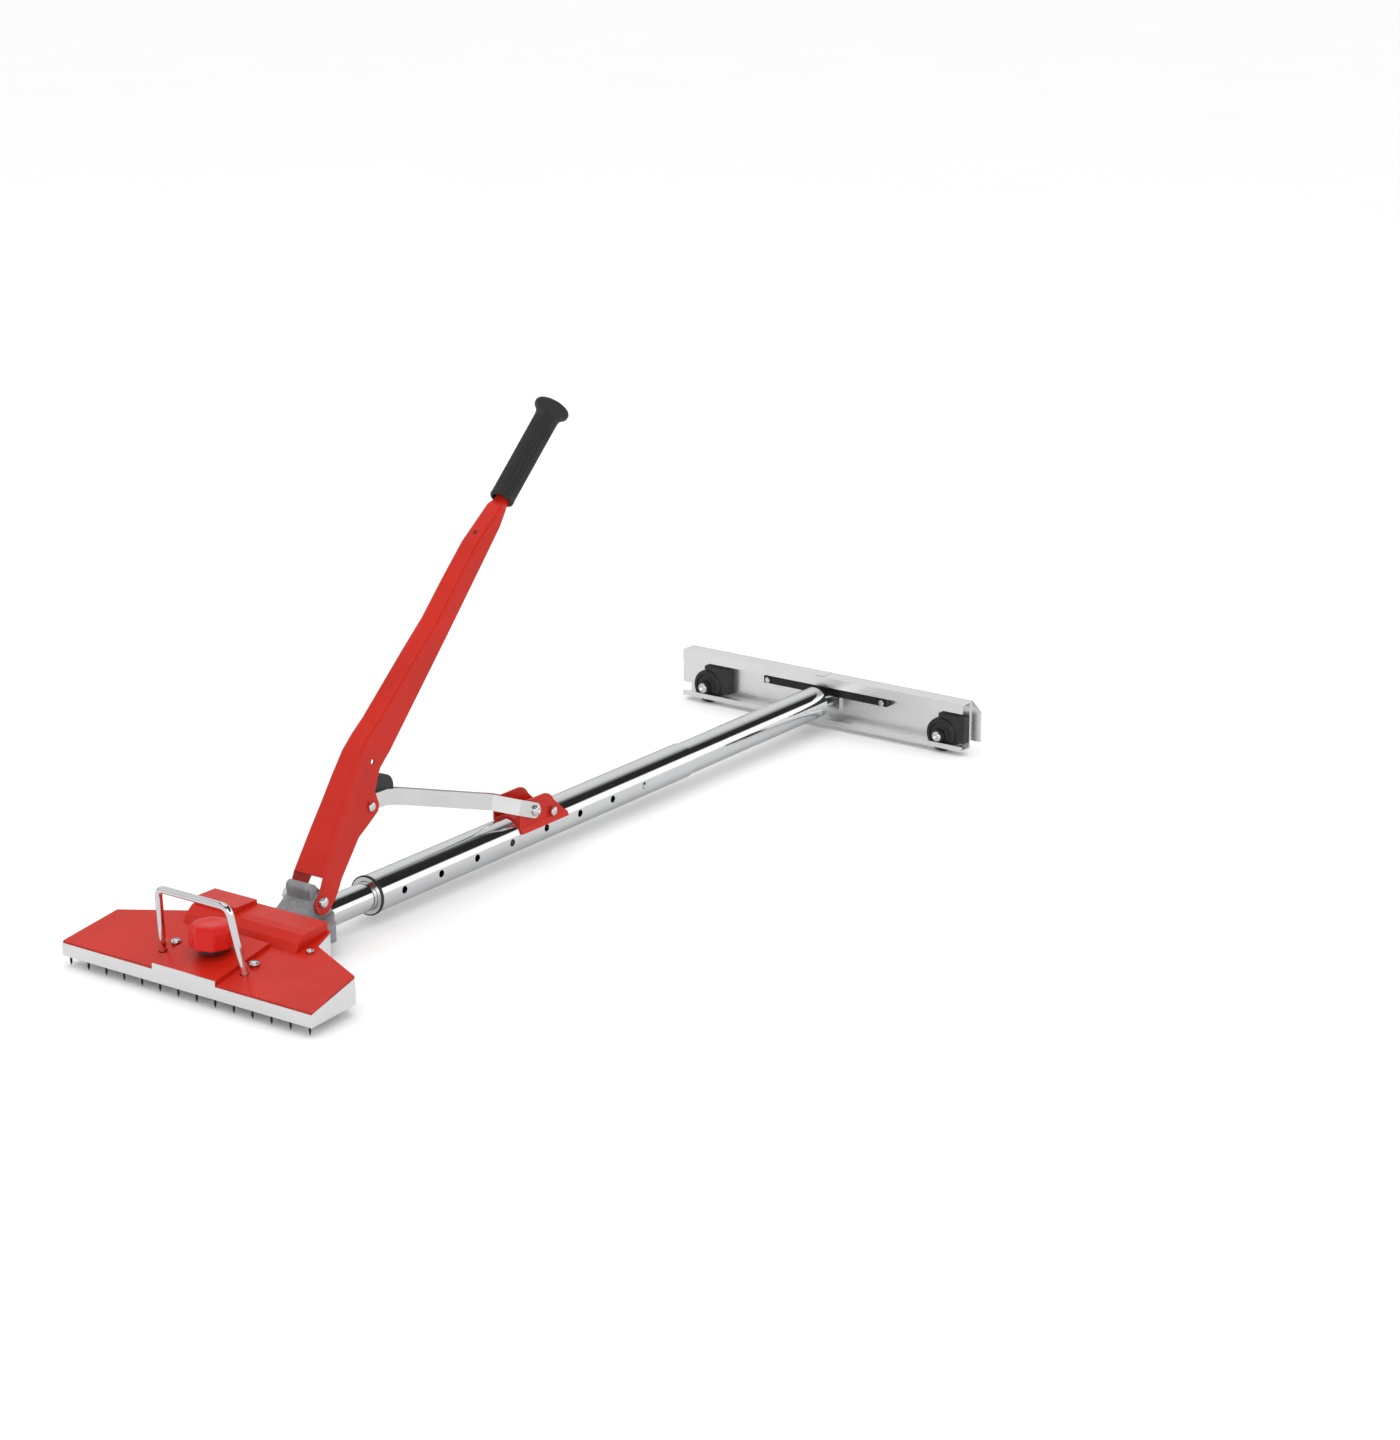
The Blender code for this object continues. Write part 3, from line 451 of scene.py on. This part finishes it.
def grip():
    end, step = GRIP_LENGTH, 3
    stations = [8 + step * i for i in range(int((end - 30) / step))]
    outer = [(0, 12.8), (0, 15.3), (1.5, 16.5), (6, 16.5), (7, 15.9)]
    outer += [(s, 16.3 + 0.2 * math.cos(s / step * math.pi)) for s in stations]
    flare = [(end - 20, 16.4), (end - 14, 17.4), (end - 9.5, 20.5), (end - 7, 23.2)]
    flare += [(end - 5, 24), (end - 2.2, 24), (end - 0.6, 23), (end, 21)]
    flare += [(end, 14), (end - 1.4, 12.5), (end - 1.4, 0)]
    inner = [(end - 5, 0), (end - 5, 12.8)]
    bm = turned(inner + outer + flare, 8 * FLUTES, False, grip_share)
    direction = (GRIP_END - GRIP_START).normalized()
    turn = direction.to_track_quat("X", "Z").to_matrix().to_4x4()
    place = LEVER @ Matrix.Translation(GRIP_START * MM) @ turn
    soften(new_object("grip_sleeve", bm, "black_rubber", place, "lever", ("lever_grip",)))


grip()


# Head: knob, handle and screws


KNOB_PLACE = (-45.0, 0.0, 0.0)
KNOB_FACETS, FACET_DEPTH = 8, 0.075
# Below this height the knob's neck and underside are coloured black: a painted shadow under the knob.
KNOB_PAINTED_SHADOW_TOP = 56.1


def knob_share(along, radius, angle):
    """Soft facets round the knob's side."""
    grown = max(0.0, min(1.0, (radius - 14) / 8))
    return 1.0 - FACET_DEPTH * grown * (0.5 - 0.5 * math.cos(KNOB_FACETS * angle))


knob = [(50.6, 0), (50.6, 19), (51.2, 20), (56, 20), (56, 24), (56.5, 26.3), (58, 27.5), (77, 27.5)]
knob += [(80.5, 26.8), (83.3, 25), (85.2, 22), (86, 18), (86, 14), (85.3, 9), (85, 6), (85, 0)]
knob_mesh = turned(knob, 128, False, knob_share)
knob_frame = TOOL @ along_axis("z", KNOB_PLACE)
knob_cap = new_object("knob_cap", knob_mesh, "red_knob", knob_frame, "knob", ("depth_knob",))
# Faces low on the knob take the black material as a painted shadow between the knob and the cover.
knob_cap.data.materials.append(LOOKS["black_plastic"])
for face in knob_cap.data.polygons:
    if face.center.z < KNOB_PAINTED_SHADOW_TOP * MM:
        face.material_index = 1
soften(knob_cap)


def handle():
    """The round bar of the carrying handle, from its near foot to its far one."""
    foot, bend = Vector((-31.1, 67.8, 30.5)), Vector((-16.2, 57.2, 125.4))
    far_bend, far_foot = Vector((bend.x, -bend.y, bend.z)), Vector((foot.x, -foot.y, foot.z))
    radius, sides, corner, steps = 4.75, 40, 12.0, 12
    points = [foot]
    for before, at, after in ((foot, bend, far_bend), (bend, far_bend, far_foot)):
        one = at + (before - at).normalized() * corner
        two = at + (after - at).normalized() * corner
        for step in range(steps + 1):
            share = step / steps
            points.append(one.lerp(at, share).lerp(at.lerp(two, share), share))
    points.append(far_foot)
    bm = bmesh.new()
    rings = []
    for i, point in enumerate(points):
        ahead = points[min(i + 1, len(points) - 1)] - points[max(i - 1, 0)]
        side = Vector((1, 0, 0)).cross(ahead).normalized()
        up = ahead.cross(side).normalized()
        angles = [2 * math.pi * k / sides for k in range(sides)]
        offsets = [radius * (side * math.cos(a) + up * math.sin(a)) for a in angles]
        rings.append([bm.verts.new(point + offset) for offset in offsets])
    for first, second in zip(rings, rings[1:], strict=False):
        for i in range(sides):
            j = (i + 1) % sides
            bm.faces.new((first[i], first[j], second[j], second[i]))
    bm.faces.new(rings[0])
    bm.faces.new(rings[-1])
    soften(new_object("handle_bar", bm, "chrome", TOOL, "head", ("carry_handle",)))


handle()


def headed(node, body, matrix, shank, head, inner, face, height, drive="", domed=0.55):
    """A screw or rivet along X: a shank from inner to face, and a domed head, slotted, socketed or plain."""
    profile = [(inner, 0), (inner, shank), (face, shank), (face, head - 0.3), (face + 0.3, head)]
    rim = face + height * (1 - domed)
    profile.append((rim, head))
    for step in range(1, 9):
        angle = math.radians(90 * step / 8)
        profile.append((rim + height * domed * math.sin(angle), head * math.cos(angle)))
    profile[-1] = (face + height, 0)
    made = new_object(f"{node}_piece", turned(profile, 48, False), "zinc", matrix)
    deep = face + height * 0.55
    tools = []
    if drive == "slot":
        bm = bmesh.new()
        bmesh.ops.create_cube(bm, size=1.0)
        bmesh.ops.scale(bm, vec=(20, 3 * head, 0.22 * head), verts=bm.verts)
        bmesh.ops.translate(bm, vec=(deep + 10, 0, 0), verts=bm.verts)
        bmesh.ops.rotate(bm, matrix=Matrix.Rotation(math.radians(35), 3, "X"), verts=bm.verts)
        tools.append(new_object("cutter", bm, None, matrix))
    if drive == "socket":
        hole = ((deep, 0), (deep, 0.5 * head), (deep + 20, 0.5 * head), (deep + 20, 0))
        tools.append(new_object("cutter", turned(hole, 6, False), None, matrix))
    if tools:
        cut(made, *tools)
    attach(made, body)
    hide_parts(node)
    soften(made)


COVER_FRONT, COVER_FRONT_HEIGHT, COVER_SLOPE = 4.5, 32.5, 0.197


def cover_height(x):
    """The height of the head's sloping cover."""
    return COVER_FRONT_HEIGHT + COVER_SLOPE * (COVER_FRONT - x)


for node, x, y, head, height in (
    ("handle_screw_near", -50.0, 64.0, 7.0, 4.5),
    ("handle_screw_far", -50.0, -64.0, 7.0, 4.5),
    ("cover_screw", -102.0, 107.0, 5.0, 3.5),
):
    face = cover_height(x) + COVER_SLOPE * head + 0.3
    place = TOOL @ along_axis("z", (x, y, 0))
    headed(node, "head", place, 3, head, face - 16, face, height, "slot", domed=0.75)

WHEEL_OFFSET, WHEEL_RADIUS = 210.0, 25.5
WHEEL_BACK, WHEEL_FRONT = -1373.5, -1359.5
HUB_FRONT = -1353.0

for name, side in SIDES:
    outward = "y" if side > 0 else "-y"
    eye = LEVER @ along_axis(outward, (-140.4, 0, -10.6))
    headed(f"link_rivet_{name}", "lever", eye, 3.5, 6, 15.7, 19.3, 4)
    rivet = TUBE @ along_axis(outward, (-680.0, 0, 20.2))
    headed(f"saddle_rivet_{name}", "main", rivet, 3, 6, 20.3, 25.4, 4)
    axle = TOOL @ along_axis("x", (0, WHEEL_OFFSET * side, WHEEL_RADIUS))
    headed(f"axle_bolt_{name}", "tail", axle, 4, 7.5, -1375.2, HUB_FRONT + 0.5, 6.5, "socket")

lever_pivot = LEVER @ along_axis("y", (0, 0, 0))
headed("lever_pivot_bolt", "lead", lever_pivot, 5, 7, -35.3, 26.3, 6)
saddle_pivot = TUBE @ along_axis("y", (-640.2, 0, 32.3))
headed("saddle_pivot_bolt", "main", saddle_pivot, 4, 7.5, -35.6, 27.6, 5, "socket")


# Wheels


def wheel(name, side):
    """A wheel turned about its axle, with a dished front face and a hub that stands out of it."""
    back, front, hub, radius = WHEEL_BACK, WHEEL_FRONT, HUB_FRONT, WHEEL_RADIUS
    profile = [(back, 4.5), (back, radius - 5), (back + 1, radius - 2.6), (back + 3.4, radius - 0.4)]
    profile += [((back + front) / 2, radius), (front - 3.4, radius - 0.4), (front - 1, radius - 2.6)]
    profile += [(front, radius - 5), (front, 19), (front - 2.2, 17.5), (front - 2.2, 11.5)]
    profile += [(front - 0.4, 9.6), (hub - 0.6, 9), (hub, 8.4), (hub, 4.5)]
    place = TOOL @ along_axis("x", (0, WHEEL_OFFSET * side, radius))
    node = f"wheel_{name}"
    soften(new_object(f"tyre_{name}", turned(profile), "wheel_black", place, node, (node,)))


for name, side in SIDES:
    wheel(name, side)


# The CAD nodes: each gets its material, small rounds (in mm) and smooth shading

ROUNDS = {
    "head_base": 0.8,
    "head_cover": 0.6,
    "head_panel": 1.0,
    "rear_housing": 2.5,
    "yoke": 1.2,
    "saddle": 0.5,
    "link_strap_near": 0.7,
    "link_strap_far": 0.7,
    "tail_channel": 0.4,
    "tail_back_plate": 0.3,
    "tail_bar": 0.6,
    "wheel_bracket_near": 1.2,
    "wheel_bracket_far": 1.2,
    "tail_bracket": 0.5,
    "link_cam": 0.8,
    "tail_splice_plate": 0.4,
}
slots = {part["node"]: part["material_slot"] for part in frame["record"]["subparts"]}
for node, obj in nodes.items():
    look = LOOKS[slots[node]]
    if not obj.data.materials:
        obj.data.materials.append(look)
    for place in obj.material_slots:
        place.material = look
    if not obj.hide_render:
        soften(obj, ROUNDS.get(node, 0.0) * MM, 3)


# Camera, floor and light

camera_data = bpy.data.cameras.new("camera")
camera_data.lens = 89.11
camera_data.sensor_width = 36.0
camera_data.clip_end = 200.0
camera = bpy.data.objects.new("camera", camera_data)
scene.collection.objects.link(camera)
camera.location = (3.5623, 2.8300, 1.5862)
camera.rotation_euler = Vector((-0.77492, -0.55858, -0.29579)).to_track_quat("-Z", "Y").to_euler()
scene.camera = camera
scene.view_settings.view_transform = "Standard"

reach = 60.0
corners = [(-reach, -reach, 0), (reach, -reach, 0), (reach, reach, 0), (-reach, reach, 0)]
data = bpy.data.meshes.new("floor")
data.from_pydata(corners, [], [(0, 1, 2, 3)])
floor = bpy.data.objects.new("floor", data)
scene.collection.objects.link(floor)
plain = Shading("floor_pale", (0.95, 0.95, 0.95), 0.0)
plain.shader.inputs["Specular IOR Level"].default_value = 0.1
shade = plain.blend(plain.noise(2.0, 3.0), (0.95, 0.95, 0.95), (0.93, 0.93, 0.93))
# Glossy rays see the floor mid grey: a painted reflection that darkens the floor in polished metal.
rays = plain.tree.nodes.new("ShaderNodeLightPath")
shade = plain.blend(rays.outputs["Is Glossy Ray"], shade, (0.6, 0.6, 0.6))
data.materials.append(plain.finish(shade, plain.spread(plain.noise(8.0), 0.3, 0.7, 0.7, 0.85)))


# How bright the room's walls and ceiling are to polished metal, by height: 0 is level and 1 overhead
FAR_WALL = ((0.0, 0.35), (0.03, 0.62), (0.4, 0.72), (0.66, 0.6), (0.72, 0.02), (1.0, 0.02))
NEAR_WALL = ((0.0, 0.3), (0.03, 0.95), (0.3, 1.25), (0.46, 1.1), (0.5, 0.02), (1.0, 0.02))


def ramp_of(make, levels):
    ramp = make("ShaderNodeValToRGB")
    stops = ramp.color_ramp.elements
    while len(stops) < len(levels):
        stops.new(0.5)
    for stop, (position, level) in zip(stops, levels, strict=True):
        stop.position = position
        stop.color = (level, level, level, 1)
    return ramp


def studio():
    """A soft white room. Polished metal sees pale walls under a dark ceiling instead."""
    world = bpy.data.worlds.new("studio")
    scene.world = world
    world.use_nodes = True
    tree = world.node_tree
    make, link = tree.nodes.new, tree.links.new
    place = make("ShaderNodeTexCoord")
    apart = make("ShaderNodeSeparateXYZ")
    link(place.outputs["Generated"], apart.inputs[0])
    lean = make("ShaderNodeMath")
    lean.operation = "MULTIPLY_ADD"
    lean.inputs[1].default_value = 0.15
    link(apart.outputs["Y"], lean.inputs[0])
    link(apart.outputs["Z"], lean.inputs[2])
    height = make("ShaderNodeMapRange")
    height.inputs["From Min"].default_value = 0.0
    height.inputs["From Max"].default_value = 1.0
    link(lean.outputs["Value"], height.inputs["Value"])
    far, near = (ramp_of(make, stops) for stops in (FAR_WALL, NEAR_WALL))
    for ramp in (far, near):
        link(height.outputs["Result"], ramp.inputs["Fac"])
    side = make("ShaderNodeMapRange")
    side.inputs["From Min"].default_value = -0.15
    side.inputs["From Max"].default_value = 0.15
    link(apart.outputs["Y"], side.inputs["Value"])
    walls = make("ShaderNodeMix")
    walls.data_type = "RGBA"
    link(side.outputs["Result"], walls.inputs["Factor"])
    link(far.outputs["Color"], walls.inputs[6])
    link(near.outputs["Color"], walls.inputs[7])
    rays = make("ShaderNodeLightPath")
    mix = make("ShaderNodeMix")
    mix.data_type = "RGBA"
    mix.inputs[6].default_value = (1, 1, 1, 1)
    link(rays.outputs["Is Glossy Ray"], mix.inputs["Factor"])
    link(walls.outputs[2], mix.inputs[7])
    background = tree.nodes["Background"]
    link(mix.outputs[2], background.inputs["Color"])
    background.inputs["Strength"].default_value = 1.06


studio()


def panel_light(name, place, target, size, power):
    data = bpy.data.lights.new(name, "AREA")
    data.shape = "RECTANGLE"
    data.size, data.size_y = size
    data.energy = power
    light = bpy.data.objects.new(name, data)
    scene.collection.objects.link(light)
    light.location = place
    light.rotation_euler = (Vector(target) - Vector(place)).to_track_quat("-Z", "Y").to_euler()


panel_light("overhead", (0.2, -0.4, 3.6), (0, 0, 0), (4.0, 3.0), 34)
panel_light("front", (3.4, 3.2, 2.6), (0.2, 0, 0.1), (2.0, 2.0), 22)
